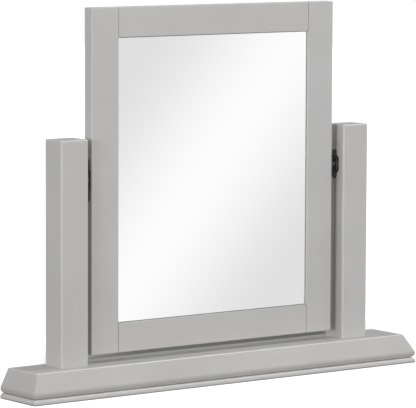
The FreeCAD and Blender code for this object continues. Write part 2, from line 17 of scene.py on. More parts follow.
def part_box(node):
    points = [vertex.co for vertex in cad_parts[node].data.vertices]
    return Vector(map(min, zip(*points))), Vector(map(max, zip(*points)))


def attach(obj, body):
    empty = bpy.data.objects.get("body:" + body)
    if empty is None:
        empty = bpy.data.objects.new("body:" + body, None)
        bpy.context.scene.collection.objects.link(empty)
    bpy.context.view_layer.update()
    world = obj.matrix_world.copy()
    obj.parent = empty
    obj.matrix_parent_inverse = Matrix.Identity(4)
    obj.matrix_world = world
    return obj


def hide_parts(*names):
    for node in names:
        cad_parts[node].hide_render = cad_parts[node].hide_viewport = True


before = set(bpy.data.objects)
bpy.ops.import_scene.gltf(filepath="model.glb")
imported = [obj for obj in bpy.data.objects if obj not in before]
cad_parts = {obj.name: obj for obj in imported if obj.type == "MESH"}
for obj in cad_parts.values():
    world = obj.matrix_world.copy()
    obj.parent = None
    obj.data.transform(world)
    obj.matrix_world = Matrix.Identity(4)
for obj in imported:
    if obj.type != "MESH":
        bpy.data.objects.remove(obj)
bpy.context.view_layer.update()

MM = 0.001
WELD = 0.001 * MM
HALF = 0.5
FULL_TURN = 2.0 * math.pi
X_AXIS, Z_AXIS = 0, 2
FULL_BYTE = 255.0
# The sRGB curve runs straight up to its knee, and as a power above it
SRGB_KNEE = 0.04045
SRGB_FOOT = 12.92
SRGB_LIFT = 0.055
SRGB_POWER = 2.4
# Most of a noise's values lie between these
NOISE_RANGE = (0.3, 0.7)
LOG = logging.getLogger("dressing_table_mirror")

Colour = tuple[float, float, float, float]
Socket = bpy.types.NodeSocket
Sockets = bpy.types.bpy_prop_collection
Tree = bpy.types.NodeTree


def linear(hex_colour: str) -> Colour:
    """Turn an sRGB hex colour into linear light.

    Args:
        hex_colour: six hex digits after a hash sign.

    Returns:
        Linear red, green, blue and an alpha of one.
    """
    shares = [byte / FULL_BYTE for byte in bytes.fromhex(hex_colour[1:])]
    curved = [((share + SRGB_LIFT) / (1.0 + SRGB_LIFT)) ** SRGB_POWER for share in shares]
    light = [share / SRGB_FOOT if share <= SRGB_KNEE else curve for share, curve in zip(shares, curved)]
    return (*light, 1.0)


def grey(share: float) -> Colour:
    """A neutral colour that gives back a share of the light."""
    return (share, share, share, 1.0)


def per_metre(size_mm: float) -> float:
    """The noise scale that gives features of a size in millimetres on coordinates in metres."""
    return 1.0 / (size_mm * MM)


def add_node(tree: Tree, kind: str, values: dict | None = None, links: dict | None = None,
             **settings: object) -> bpy.types.Node:
    """Add a node with its settings, its constant inputs and the links into it.

    Args:
        tree: the tree that gets the node.
        kind: the node's type.
        values: constants by input name or number.
        links: output sockets, or lists of them, by the input name or number that they feed.
        **settings: the node's own properties.

    Returns:
        The new node.
    """
    node = tree.nodes.new(kind)
    for name, setting in settings.items():
        setattr(node, name, setting)
    for socket, value in (values or {}).items():
        node.inputs[socket].default_value = value
    for socket, sources in (links or {}).items():
        for source in sources if isinstance(sources, list) else [sources]:
            tree.links.new(source, node.inputs[socket])
    return node


class Grain(Enum):
    """The way a piece's grain runs, as the axis along it."""

    ALONG_X = X_AXIS
    ALONG_Z = Z_AXIS

    def stretch(self, across_mm: float, along_mm: float) -> tuple[float, ...]:
        """Scales of a noise of size one that is drawn out along the grain."""
        return tuple(per_metre(along_mm if axis == self.value else across_mm) for axis in range(3))


@dataclass(frozen=True)
class Finish(ABC):
    """What a surface is made of and how it was made."""

    name: str

    def material(self) -> bpy.types.Material:
        """Make the finish's material on its first use, and find it again after that.

        Returns:
            The material.
        """
        known = bpy.data.materials.get(self.name)
        if known:
            return known
        material = bpy.data.materials.new(self.name)
        material.use_nodes = True
        tree = material.node_tree
        tree.nodes.clear()
        shader = self.shade(tree, add_node(tree, "ShaderNodeTexCoord").outputs)
        add_node(tree, "ShaderNodeOutputMaterial", links={"Surface": shader.outputs["BSDF"]})
        return material

    @abstractmethod
    def shade(self, tree: Tree, place: Sockets) -> bpy.types.Node:
        """Add the patterns and the shader that they feed.

        Args:
            tree: the material's nodes.
            place: the texture coordinates, of which Object and Normal are read.

        Returns:
            The principled shader.
        """


@dataclass(frozen=True)
class SatinPaint(Finish):
    """Satin lacquer sprayed on sealed and sanded solid wood.

    It gives the eye an even light grey with a soft sheen, faint lengthwise streaks where the grain stands
    under the film, a slight orange peel, a painted tone on the rounded arrises that stands in for light
    (a painted highlight where it is paler, painted shade where it is darker), and a dark hairline where
    two boards of the frame meet.
    """

    grain: Grain = Grain.ALONG_X
    deep: str = "#B2B1AF"
    pale: str = "#B8B7B5"
    # Painted light on the arrises: this darker tone is painted shade that dims their highlight; a paler one
    # given to a piece is a painted highlight
    thin: str = "#A9A8A5"
    # The pores are about 0.3 mm wide, too fine to show, so the streaks are drawn ten times as wide
    streak_across_mm: float = 3.0
    streak_along_mm: float = 110.0
    streak_depth_mm: float = 0.012
    streak_octaves: float = 3.0
    streak_breakup: float = 0.6
    streak_share: float = 0.6
    cloud_mm: float = 85.0
    cloud_octaves: float = 2.0
    tone_range: tuple[float, float] = (0.5, 1.1)
    peel_mm: float = 2.2
    peel_depth_mm: float = 0.006
    peel_octaves: float = 1.0
    ior: float = 1.5
    roughness: tuple[float, float] = (0.28, 0.36)
    arris_turn: tuple[float, float] = (0.08, 0.28)
    seam_x: float | None = None
    opening_z: tuple[float, float] = (0.0, 0.0)
    seam: str = "#5E5D5B"
    seam_half_mm: tuple[float, float] = (0.25, 0.55)

    def shade(self, tree: Tree, place: Sockets) -> bpy.types.Node:
        """Streaked grey, with painted light on the arrises and a film that is a little uneven.

        Args:
            tree: the material's nodes.
            place: the texture coordinates.

        Returns:
            The principled shader.
        """
        spot = place["Object"]
        drawn_out = add_node(tree, "ShaderNodeVectorMath", operation="MULTIPLY", links={0: spot},
                             values={1: self.grain.stretch(self.streak_across_mm, self.streak_along_mm)})
        streaks = add_node(tree, "ShaderNodeTexNoise", links={"Vector": drawn_out.outputs["Vector"]},
                           values={"Scale": 1.0, "Detail": self.streak_octaves,
                                   "Roughness": self.streak_breakup}).outputs["Fac"]
        clouds = add_node(tree, "ShaderNodeTexNoise", links={"Vector": spot},
                          values={"Scale": per_metre(self.cloud_mm),
                                  "Detail": self.cloud_octaves}).outputs["Fac"]
        tone = add_node(tree, "ShaderNodeMath", operation="MULTIPLY_ADD", values={1: self.streak_share},
                        links={0: streaks, 2: clouds})
        spread = add_node(tree, "ShaderNodeMapRange", links={"Value": tone.outputs["Value"]},
                          values={"From Min": self.tone_range[0], "From Max": self.tone_range[1]})
        ground = add_node(tree, "ShaderNodeMix", data_type="RGBA",
                          links={"Factor": spread.outputs["Result"]},
                          values={"A": linear(self.deep), "B": linear(self.pale)})
        # The arris tone mixed in where a surface turns is painted light: a painted highlight where paler
        # than the ground, painted shade where darker
        colour = add_node(tree, "ShaderNodeMix", data_type="RGBA", values={"B": linear(self.thin)},
                          links={"Factor": self.arris(tree, place["Normal"]),
                                 "A": ground.outputs["Result"]})
        if self.seam_x is not None:
            colour = add_node(tree, "ShaderNodeMix", data_type="RGBA", values={"B": linear(self.seam)},
                              links={"Factor": self.hairline(tree, spot), "A": colour.outputs["Result"]})
        sheen = add_node(tree, "ShaderNodeMapRange", links={"Value": clouds},
                         values={"From Min": NOISE_RANGE[0], "From Max": NOISE_RANGE[1],
                                 "To Min": self.roughness[0], "To Max": self.roughness[1]})
        raised = add_node(tree, "ShaderNodeBump", links={"Height": streaks},
                          values={"Strength": 1.0, "Distance": self.streak_depth_mm * MM})
        peel = add_node(tree, "ShaderNodeTexNoise", links={"Vector": spot},
                        values={"Scale": per_metre(self.peel_mm), "Detail": self.peel_octaves})
        film = add_node(tree, "ShaderNodeBump",
                        values={"Strength": 1.0, "Distance": self.peel_depth_mm * MM},
                        links={"Height": peel.outputs["Fac"], "Normal": raised.outputs["Normal"]})
        return add_node(tree, "ShaderNodeBsdfPrincipled", values={"IOR": self.ior}, links={
            "Base Color": colour.outputs["Result"], "Roughness": sheen.outputs["Result"],
            "Normal": film.outputs["Normal"]})

    def arris(self, tree: Tree, normal: Socket) -> Socket:
        """Where a surface turns from one board face to the next, which gets the painted arris light.

        Args:
            tree: the material's nodes.
            normal: the surface's own direction.

        Returns:
            Nothing on the flat faces, one in the middle of a rounded edge.
        """
        facing = add_node(tree, "ShaderNodeVectorMath", operation="ABSOLUTE", links={0: normal})
        parts = add_node(tree, "ShaderNodeSeparateXYZ", links={0: facing.outputs["Vector"]}).outputs
        level = add_node(tree, "ShaderNodeMath", operation="MAXIMUM", links={0: parts["X"], 1: parts["Y"]})
        most = add_node(tree, "ShaderNodeMath", operation="MAXIMUM",
                        links={0: level.outputs["Value"], 1: parts["Z"]})
        start, end = (1.0 - turn for turn in self.arris_turn)
        turned = add_node(tree, "ShaderNodeMapRange", links={"Value": most.outputs["Value"]},
                          values={"From Min": start, "From Max": end})
        return turned.outputs["Result"]

    def hairline(self, tree: Tree, spot: Socket) -> Socket:
        """Where the frame's rails butt against its stiles.

        Args:
            tree: the material's nodes.
            spot: the object coordinates.

        Returns:
            One on the joint, nothing a little way off and nothing along the mirror.
        """
        parts = add_node(tree, "ShaderNodeSeparateXYZ", links={0: spot}).outputs
        side = add_node(tree, "ShaderNodeMath", operation="ABSOLUTE", links={0: parts["X"]})
        past = add_node(tree, "ShaderNodeMath", operation="SUBTRACT", links={0: side.outputs["Value"]},
                        values={1: self.seam_x})
        off = add_node(tree, "ShaderNodeMath", operation="ABSOLUTE", links={0: past.outputs["Value"]})
        core, edge = (half * MM for half in self.seam_half_mm)
        line = add_node(tree, "ShaderNodeMapRange", links={"Value": off.outputs["Value"]},
                        values={"From Min": edge, "From Max": core})
        low, high = self.opening_z
        rise = add_node(tree, "ShaderNodeMath", operation="SUBTRACT", links={0: parts["Z"]},
                        values={1: (low + high) / 2.0})
        height = add_node(tree, "ShaderNodeMath", operation="ABSOLUTE", links={0: rise.outputs["Value"]})
        beside_rail = add_node(tree, "ShaderNodeMath", operation="GREATER_THAN",
                               links={0: height.outputs["Value"]}, values={1: (high - low) / 2.0})
        joint = add_node(tree, "ShaderNodeMath", operation="MULTIPLY",
                         links={0: line.outputs["Result"], 1: beside_rail.outputs["Value"]})
        return joint.outputs["Value"]


@dataclass(frozen=True)
class RolledPaint(Finish):
    """Grey paint rolled on hard fibreboard: flatter than the frame's, with the roller's fine stipple."""

    deep: str = "#A9A8A5"
    pale: str = "#B3B2AF"
    stipple_mm: float = 1.6
    stipple_depth_mm: float = 0.03
    stipple_octaves: float = 2.0
    patch_mm: float = 60.0
    patch_octaves: float = 4.0
    ior: float = 1.5
    roughness: tuple[float, float] = (0.55, 0.7)

    def shade(self, tree: Tree, place: Sockets) -> bpy.types.Node:
        """Patchy grey under an even stipple.

        Args:
            tree: the material's nodes.
            place: the texture coordinates.

        Returns:
            The principled shader.
        """
        spot = place["Object"]
        patches = add_node(tree, "ShaderNodeTexNoise", links={"Vector": spot},
                           values={"Scale": per_metre(self.patch_mm),
                                   "Detail": self.patch_octaves}).outputs["Fac"]
        colour = add_node(tree, "ShaderNodeMix", data_type="RGBA", links={"Factor": patches},
                          values={"A": linear(self.deep), "B": linear(self.pale)})
        flat = add_node(tree, "ShaderNodeMapRange", links={"Value": patches},
                        values={"From Min": NOISE_RANGE[0], "From Max": NOISE_RANGE[1],
                                "To Min": self.roughness[0], "To Max": self.roughness[1]})
        stipple = add_node(tree, "ShaderNodeTexNoise", links={"Vector": spot},
                           values={"Scale": per_metre(self.stipple_mm), "Detail": self.stipple_octaves})
        film = add_node(tree, "ShaderNodeBump", links={"Height": stipple.outputs["Fac"]},
                        values={"Strength": 1.0, "Distance": self.stipple_depth_mm * MM})
        return add_node(tree, "ShaderNodeBsdfPrincipled", values={"IOR": self.ior}, links={
            "Base Color": colour.outputs["Result"], "Roughness": flat.outputs["Result"],
            "Normal": film.outputs["Normal"]})


@dataclass(frozen=True)
class SilveredGlass(Finish):
    """Float glass silvered on its back: a bright, neutral mirror with a breath of cleaning haze."""

    silver: str = "#FCFCFC"
    haze_mm: float = 60.0
    haze_octaves: float = 3.0
    haze_swirl: float = 0.6
    haze_range: tuple[float, float] = (0.45, 0.8)
    roughness: tuple[float, float] = (0.0, 0.02)

    def shade(self, tree: Tree, place: Sockets) -> bpy.types.Node:
        """A mirror whose polish differs a little from place to place.

        Args:
            tree: the material's nodes.
            place: the texture coordinates.

        Returns:
            The principled shader.
        """
        wiped = add_node(tree, "ShaderNodeTexNoise", links={"Vector": place["Object"]},
                         values={"Scale": per_metre(self.haze_mm), "Detail": self.haze_octaves,
                                 "Distortion": self.haze_swirl})
        haze = add_node(tree, "ShaderNodeMapRange", links={"Value": wiped.outputs["Fac"]},
                        values={"From Min": self.haze_range[0], "From Max": self.haze_range[1],
                                "To Min": self.roughness[0], "To Max": self.roughness[1]})
        return add_node(tree, "ShaderNodeBsdfPrincipled", links={"Roughness": haze.outputs["Result"]},
                        values={"Base Color": linear(self.silver), "Metallic": 1.0})


@dataclass(frozen=True)
class GroundGlass(Finish):
    """Float glass ground on its edge: a frosted grey green with the fine scratches of the belt."""

    deep: str = "#8FA39B"
    pale: str = "#B4C2BB"
    # The belt's grit is about 0.1 mm, too fine to show, so its scratches are drawn eight times as wide
    scratch_mm: float = 0.8
    scratch_depth_mm: float = 0.02
    scratch_octaves: float = 3.0
    ior: float = 1.52
    roughness: float = 0.55

    def shade(self, tree: Tree, place: Sockets) -> bpy.types.Node:
        """Scratched, frosted green.

        Args:
            tree: the material's nodes.
            place: the texture coordinates.

        Returns:
            The principled shader.
        """
        scratches = add_node(tree, "ShaderNodeTexNoise", links={"Vector": place["Object"]},
                             values={"Scale": per_metre(self.scratch_mm),
                                     "Detail": self.scratch_octaves}).outputs["Fac"]
        colour = add_node(tree, "ShaderNodeMix", data_type="RGBA", links={"Factor": scratches},
                          values={"A": linear(self.deep), "B": linear(self.pale)})
        frost = add_node(tree, "ShaderNodeBump", links={"Height": scratches},
                         values={"Strength": 1.0, "Distance": self.scratch_depth_mm * MM})
        return add_node(tree, "ShaderNodeBsdfPrincipled",
                        values={"IOR": self.ior, "Roughness": self.roughness},
                        links={"Base Color": colour.outputs["Result"], "Normal": frost.outputs["Normal"]})


@dataclass(frozen=True)
class CoatedSteel(Finish):
    """Steel under a thin coat: a deep tone, scuffs of another, a fine uneven film and a broken gloss."""

    deep: str = "#1A1A19"
    worn: str = "#3C3B38"
    metallic: float = 0.0
    clear_coat: float = 0.0
    coat_roughness: float = 0.15
    coat_ior: float = 1.6
    pebble_mm: float = 0.9
    pebble_depth_mm: float = 0.01
    pebble_octaves: float = 1.0
    scuff_mm: float = 5.0
    scuff_octaves: float = 4.0
    scuff_range: tuple[float, float] = (0.45, 0.8)
    roughness: tuple[float, float] = (0.32, 0.5)

    def shade(self, tree: Tree, place: Sockets) -> bpy.types.Node:
        """Two tones, a pebbled film and a gloss that follows the scuffs.

        Args:
            tree: the material's nodes.
            place: the texture coordinates.

        Returns:
            The principled shader.
        """
        spot = place["Object"]
        scuffs = add_node(tree, "ShaderNodeTexNoise", links={"Vector": spot},
                          values={"Scale": per_metre(self.scuff_mm),
                                  "Detail": self.scuff_octaves}).outputs["Fac"]
        worn = add_node(tree, "ShaderNodeMapRange", links={"Value": scuffs},
                        values={"From Min": self.scuff_range[0], "From Max": self.scuff_range[1]})
        colour = add_node(tree, "ShaderNodeMix", data_type="RGBA", links={"Factor": worn.outputs["Result"]},
                          values={"A": linear(self.deep), "B": linear(self.worn)})
        gloss = add_node(tree, "ShaderNodeMapRange", links={"Value": scuffs},
                         values={"From Min": NOISE_RANGE[0], "From Max": NOISE_RANGE[1],
                                 "To Min": self.roughness[0], "To Max": self.roughness[1]})
        pebbles = add_node(tree, "ShaderNodeTexNoise", links={"Vector": spot},
                           values={"Scale": per_metre(self.pebble_mm), "Detail": self.pebble_octaves})
        film = add_node(tree, "ShaderNodeBump", links={"Height": pebbles.outputs["Fac"]},
                        values={"Strength": 1.0, "Distance": self.pebble_depth_mm * MM})
        coat = {"Coat Weight": self.clear_coat, "Coat Roughness": self.coat_roughness,
                "Coat IOR": self.coat_ior}
        return add_node(tree, "ShaderNodeBsdfPrincipled", values={"Metallic": self.metallic, **coat}, links={
            "Base Color": colour.outputs["Result"], "Roughness": gloss.outputs["Result"],
            "Normal": film.outputs["Normal"]})


@dataclass(frozen=True)
class BareBeech(Finish):
    """Beech turned and left bare: pale pinkish tan, darker lengthwise pores and a dry, matt face."""

    grain: Grain = Grain.ALONG_Z
    deep: str = "#B4875A"
    pale: str = "#D8B489"
    # Beech pores are about 0.1 mm wide, too fine to show, so they are drawn six times as wide
    pore_across_mm: float = 0.6
    pore_along_mm: float = 6.0
    pore_depth_mm: float = 0.03
    pore_octaves: float = 4.0
    pore_breakup: float = 0.65
    pore_range: tuple[float, float] = (0.35, 0.6)
    ior: float = 1.5
    roughness: float = 0.72

    def shade(self, tree: Tree, place: Sockets) -> bpy.types.Node:
        """Drawn-out pores over a pale ground.

        Args:
            tree: the material's nodes.
            place: the texture coordinates.

        Returns:
            The principled shader.
        """
        drawn_out = add_node(tree, "ShaderNodeVectorMath", operation="MULTIPLY", links={0: place["Object"]},
                             values={1: self.grain.stretch(self.pore_across_mm, self.pore_along_mm)})
        pores = add_node(tree, "ShaderNodeTexNoise", links={"Vector": drawn_out.outputs["Vector"]},
                         values={"Scale": 1.0, "Detail": self.pore_octaves,
                                 "Roughness": self.pore_breakup}).outputs["Fac"]
        clear = add_node(tree, "ShaderNodeMapRange", links={"Value": pores},
                         values={"From Min": self.pore_range[0], "From Max": self.pore_range[1]})
        colour = add_node(tree, "ShaderNodeMix", data_type="RGBA",
                          links={"Factor": clear.outputs["Result"]},
                          values={"A": linear(self.deep), "B": linear(self.pale)})
        cut = add_node(tree, "ShaderNodeBump", links={"Height": pores},
                       values={"Strength": 1.0, "Distance": self.pore_depth_mm * MM})
        return add_node(tree, "ShaderNodeBsdfPrincipled",
                        values={"IOR": self.ior, "Roughness": self.roughness},
                        links={"Base Color": colour.outputs["Result"], "Normal": cut.outputs["Normal"]})


@dataclass(frozen=True)
class SpeckledStock(Finish):
    """Felt, tape, nylon or backing paint: a dull stock, told apart by its tones, speckle and sheen."""

    deep: str = "#3F3D3B"
    pale: str = "#6B6865"
    speckle_mm: float = 0.7
    speckle_depth_mm: float = 0.12
    speckle_octaves: float = 5.0
    speckle_breakup: float = 0.7
    speckle_tangle: float = 1.2
    ior: float = 1.5
    roughness: float = 0.95
    sheen: float = 0.0

    def shade(self, tree: Tree, place: Sockets) -> bpy.types.Node:
        """Speckled tones on a dull, uneven face.

        Args:
            tree: the material's nodes.
            place: the texture coordinates.

        Returns:
            The principled shader.
        """
        speckle = add_node(tree, "ShaderNodeTexNoise", links={"Vector": place["Object"]},
                           values={"Scale": per_metre(self.speckle_mm), "Detail": self.speckle_octaves,
                                   "Roughness": self.speckle_breakup,
                                   "Distortion": self.speckle_tangle}).outputs["Fac"]
        spread = add_node(tree, "ShaderNodeMapRange", links={"Value": speckle},
                          values={"From Min": NOISE_RANGE[0], "From Max": NOISE_RANGE[1]})
        colour = add_node(tree, "ShaderNodeMix", data_type="RGBA",
                          links={"Factor": spread.outputs["Result"]},
                          values={"A": linear(self.deep), "B": linear(self.pale)})
        rough = add_node(tree, "ShaderNodeBump", links={"Height": speckle},
                         values={"Strength": 1.0, "Distance": self.speckle_depth_mm * MM})
        return add_node(tree, "ShaderNodeBsdfPrincipled",
                        values={"IOR": self.ior, "Roughness": self.roughness, "Sheen Weight": self.sheen},
                        links={"Base Color": colour.outputs["Result"], "Normal": rough.outputs["Normal"]})


# Lacquer: a near black with a glassy skin that greys where it mirrors the room
BLACK_LACQUER = CoatedSteel("black_lacquer_baked_on_steel", clear_coat=0.55)
# Bright zinc: a pale, faintly blue metal with milky patches of passivation
BRIGHT_ZINC = CoatedSteel("bright_zinc_plated_steel", deep="#B9BCBE", worn="#CFCDC6", metallic=1.0,
                          pebble_mm=0.6, pebble_depth_mm=0.004, scuff_mm=4.0, roughness=(0.24, 0.42))
# Felt: a dark grey mat of crossed fibres that catches the light along its rim
PRESSED_FELT = SpeckledStock("pressed_wool_felt", sheen=0.35)
# Tape: white foam between two films, nearly smooth
WHITE_TAPE = SpeckledStock("double_sided_mounting_tape", deep="#D6D5D0", pale="#E2E1DD", speckle_mm=1.2,
                           speckle_depth_mm=0.02, roughness=0.6)
# Nylon: moulded grey, a little waxy
GREY_NYLON = SpeckledStock("moulded_grey_nylon", deep="#4B4B49", pale="#565654", speckle_mm=0.9,
                           speckle_depth_mm=0.01, roughness=0.42)
# Backing: the grey protective paint behind a mirror's silver
BACKING_PAINT = SpeckledStock("mirror_backing_paint", deep="#7C7F80", pale="#8A8D8E", speckle_mm=1.5,
                              speckle_depth_mm=0.01, roughness=0.6)


@dataclass(frozen=True)
class Place:
    """Where one turned piece sits: the middle of its wider end, the way it points, and its size."""

    start: Vector
    direction: Vector
    length: float
    radius: float


def islands(node: str) -> list[list[Vector]]:
    """The points of each solid of a CAD node.

    Args:
        node: the node's name.

    Returns:
        One list of points for each solid, in the order of the mesh.
    """
    copy = bmesh.new()
    copy.from_mesh(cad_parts[node].data)
    bmesh.ops.remove_doubles(copy, verts=copy.verts, dist=WELD)
    for vert in copy.verts:
        vert.tag = False
    found = []
    for first in copy.verts:
        if first.tag:
            continue
        first.tag = True
        queue, points = [first], []
        while queue:
            vert = queue.pop()
            points.append(vert.co.copy())
            fresh = [edge.other_vert(vert) for edge in vert.link_edges if not edge.other_vert(vert).tag]
            for other in fresh:
                other.tag = True
            queue += fresh
        found.append(points)
    copy.free()
    return found


def places(node: str, axis: int) -> list[Place]:
    """Where each solid of a node of turned pieces sits.

    Args:
        node: the node's name.
        axis: the axis that its solids are turned about.

    Returns:
        One place for each solid, in order of X, Y and Z.
    """
    found = []
    for points in islands(node):
        low = Vector(min(p[i] for p in points) for i in range(3))
        high = Vector(max(p[i] for p in points) for i in range(3))
        middle = (low + high) / 2.0
        reach = {end: max((p - middle).length for p in points if abs(p[axis] - end) < WELD)
                 for end in (low[axis], high[axis])}
        head, tip = sorted(reach, key=lambda end: -round(reach[end] / WELD))
        start, direction = middle.copy(), Vector()
        start[axis] = head
        direction[axis] = math.copysign(1.0, tip - head)
        radius = max((high - low)[i] for i in range(3) if i != axis) / 2.0
        found.append(Place(start, direction, abs(tip - head), radius))
    return sorted(found, key=lambda place: tuple(round(v / WELD) for v in place.start))


@dataclass(frozen=True)
class Turning(ABC):
    """A small turned piece: a grid wrapped round an axis, and set on points that hold its direction."""

    sides: int
    rows: int
    seed: int = 11
    crease_deg: float = 32.0

    @abstractmethod
    def sizes(self) -> dict[str, float]:
        """The tree's own inputs with their values, beside Length and Radius."""

    @abstractmethod
    def radius(self, tree: Tree, size: Sockets, along: Socket, angle: Socket) -> Socket:
        """The rule of the outline.

        Args:
            tree: the tree that gets the rule.
            size: the tree's inputs.
            along: how far along the axis a point lies.
            angle: how far round the axis it lies.

        Returns:
            How far from the axis it lies.
        """

    def cutters(self, tree: Tree, size: Sockets) -> list[Socket]:
        """Shapes that are cut out of the wider end, none unless a kind of piece has them."""
        return []

    def build(self, name: str, found: list[Place], finish: Finish) -> bpy.types.Object:
        """Make one mesh of the piece at every place.

        Args:
            name: the new object's name.
            found: the places, all of one length and radius.
            finish: the finish of all the pieces.

        Returns:
            The new object, with its places in its mesh.
        """
        points = bpy.data.meshes.new(name)
        points.from_pydata([place.start for place in found], [], [])
        pointing = points.attributes.new("direction", "FLOAT_VECTOR", "POINT")
        for item, place in zip(pointing.data, found):
            item.vector = place.direction
        piece = bpy.data.objects.new(name, points)
        bpy.context.scene.collection.objects.link(piece)
        inputs = {"Length": found[0].length, "Radius": found[0].radius, **self.sizes(), "Seed": self.seed}
        tree = self.tree(f"{name}_rule", inputs, finish)
        modifier = piece.modifiers.new("turned", "NODES")
        modifier.node_group = tree
        for item in tree.interface.items_tree:
            if item.in_out == "INPUT" and item.name in inputs:
                modifier[item.identifier] = inputs[item.name]
        bpy.context.view_layer.update()
        solid = piece.evaluated_get(bpy.context.evaluated_depsgraph_get())
        mesh = bpy.data.meshes.new_from_object(solid)
        # The first slot is the one of the bare points, which is empty
        mesh.materials.pop(index=0)
        piece.modifiers.remove(modifier)
        piece.data = mesh
        return piece

    def tree(self, name: str, inputs: dict[str, float | int], finish: Finish) -> Tree:
        """Build the piece's geometry nodes.

        Args:
            name: the tree's name.
            inputs: its sizes and its seed, by name.
            finish: the finish that the tree sets.

        Returns:
            The tree.
        """
        tree = bpy.data.node_groups.new(name, "GeometryNodeTree")
        tree.interface.new_socket("Points", in_out="INPUT", socket_type="NodeSocketGeometry")
        for title, value in inputs.items():
            kind = "NodeSocketInt" if isinstance(value, int) else "NodeSocketFloat"
            tree.interface.new_socket(title, in_out="INPUT", socket_type=kind)
        tree.interface.new_socket("Pieces", in_out="OUTPUT", socket_type="NodeSocketGeometry")
        size = add_node(tree, "NodeGroupInput").outputs
        solid = self.wrapped(tree, size)
        cutters = self.cutters(tree, size)
        if cutters:
            solid = add_node(tree, "GeometryNodeMeshBoolean", operation="DIFFERENCE",
                             links={0: solid, 1: cutters}).outputs["Mesh"]
        creased = self.creased(tree, solid)
        way = add_node(tree, "GeometryNodeInputNamedAttribute", data_type="FLOAT_VECTOR",
                       values={"Name": "direction"})
        aligned = add_node(tree, "FunctionNodeAlignRotationToVector", axis="Z",
                           links={"Vector": way.outputs["Attribute"]})
        chance = add_node(tree, "FunctionNodeRandomValue", data_type="FLOAT", links={"Seed": size["Seed"]},
                          values={"Min": 0.0, "Max": FULL_TURN})
        twist = add_node(tree, "FunctionNodeAxisAngleToRotation", values={"Axis": (0.0, 0.0, 1.0)},
                         links={"Angle": chance.outputs["Value"]})
        driven = add_node(tree, "FunctionNodeRotateRotation", rotation_space="LOCAL", links={
            "Rotation": aligned.outputs["Rotation"], "Rotate By": twist.outputs["Rotation"]})
        placed = add_node(tree, "GeometryNodeInstanceOnPoints", links={
            "Points": size["Points"], "Instance": creased, "Rotation": driven.outputs["Rotation"]})
        real = add_node(tree, "GeometryNodeRealizeInstances",
                        links={"Geometry": placed.outputs["Instances"]})
        dressed = add_node(tree, "GeometryNodeSetMaterial", values={"Material": finish.material()},
                           links={"Geometry": real.outputs["Geometry"]})
        add_node(tree, "NodeGroupOutput", links={"Pieces": dressed.outputs["Geometry"]})
        return tree

    def wrapped(self, tree: Tree, size: Sockets) -> Socket:
        """Wrap a grid round the Z axis, with its first and last rows drawn in to close the ends.

        Args:
            tree: the tree that gets the grid.
            size: the tree's inputs.

        Returns:
            The closed shape, from the origin along +Z.
        """
        grid = add_node(tree, "GeometryNodeMeshGrid", values={
            "Size X": 1.0, "Size Y": 1.0, "Vertices X": self.sides + 1, "Vertices Y": self.rows + 1})
        spot = add_node(tree, "GeometryNodeInputPosition")
        parts = add_node(tree, "ShaderNodeSeparateXYZ", links={0: spot.outputs["Position"]}).outputs
        angle = add_node(tree, "ShaderNodeMath", operation="MULTIPLY_ADD", links={0: parts["X"]},
                         values={1: FULL_TURN, 2: math.pi}).outputs["Value"]
        row = 1.0 / self.rows
        along = add_node(tree, "ShaderNodeMapRange", links={"Value": parts["Y"], "To Max": size["Length"]},
                         values={"From Min": row - HALF, "From Max": HALF - row}).outputs["Result"]
        off = add_node(tree, "ShaderNodeMath", operation="ABSOLUTE", links={0: parts["Y"]})
        inner = add_node(tree, "ShaderNodeMath", operation="LESS_THAN", links={0: off.outputs["Value"]},
                         values={1: HALF - HALF * row})
        reach = add_node(tree, "ShaderNodeMath", operation="MULTIPLY", links={
            0: self.radius(tree, size, along, angle), 1: inner.outputs["Value"]}).outputs["Value"]
        cosine = add_node(tree, "ShaderNodeMath", operation="COSINE", links={0: angle})
        sine = add_node(tree, "ShaderNodeMath", operation="SINE", links={0: angle})
        x = add_node(tree, "ShaderNodeMath", operation="MULTIPLY",
                     links={0: reach, 1: cosine.outputs["Value"]})
        y = add_node(tree, "ShaderNodeMath", operation="MULTIPLY",
                     links={0: reach, 1: sine.outputs["Value"]})
        bent = add_node(tree, "ShaderNodeCombineXYZ", links={
            "X": x.outputs["Value"], "Y": y.outputs["Value"], "Z": along})
        moved = add_node(tree, "GeometryNodeSetPosition", links={
            "Geometry": grid.outputs["Mesh"], "Position": bent.outputs["Vector"]})
        closed = add_node(tree, "GeometryNodeMergeByDistance", values={"Distance": WELD},
                          links={"Geometry": moved.outputs["Geometry"]})
        return closed.outputs["Geometry"]

    def creased(self, tree: Tree, solid: Socket) -> Socket:
        """Shade a shape smooth, apart from its sharp edges.

        Args:
            tree: the tree that gets the nodes.
            solid: the shape.

        Returns:
            The shape with its edges marked.
        """
        smooth = add_node(tree, "GeometryNodeSetShadeSmooth", domain="FACE", links={"Geometry": solid})
        bend = add_node(tree, "GeometryNodeInputMeshEdgeAngle")
        sharp = add_node(tree, "ShaderNodeMath", operation="GREATER_THAN",
                         links={0: bend.outputs["Unsigned Angle"]},
                         values={1: math.radians(self.crease_deg)})
        marked = add_node(tree, "GeometryNodeSetShadeSmooth", domain="EDGE", values={"Shade Smooth": False},
                          links={"Geometry": smooth.outputs["Geometry"],
                                 "Selection": sharp.outputs["Value"]})
        return marked.outputs["Geometry"]


class Drive(Enum):
    """What turns a screw or a bolt."""

    CROSS = "cross recess"
    HEXAGON = "hexagon socket"


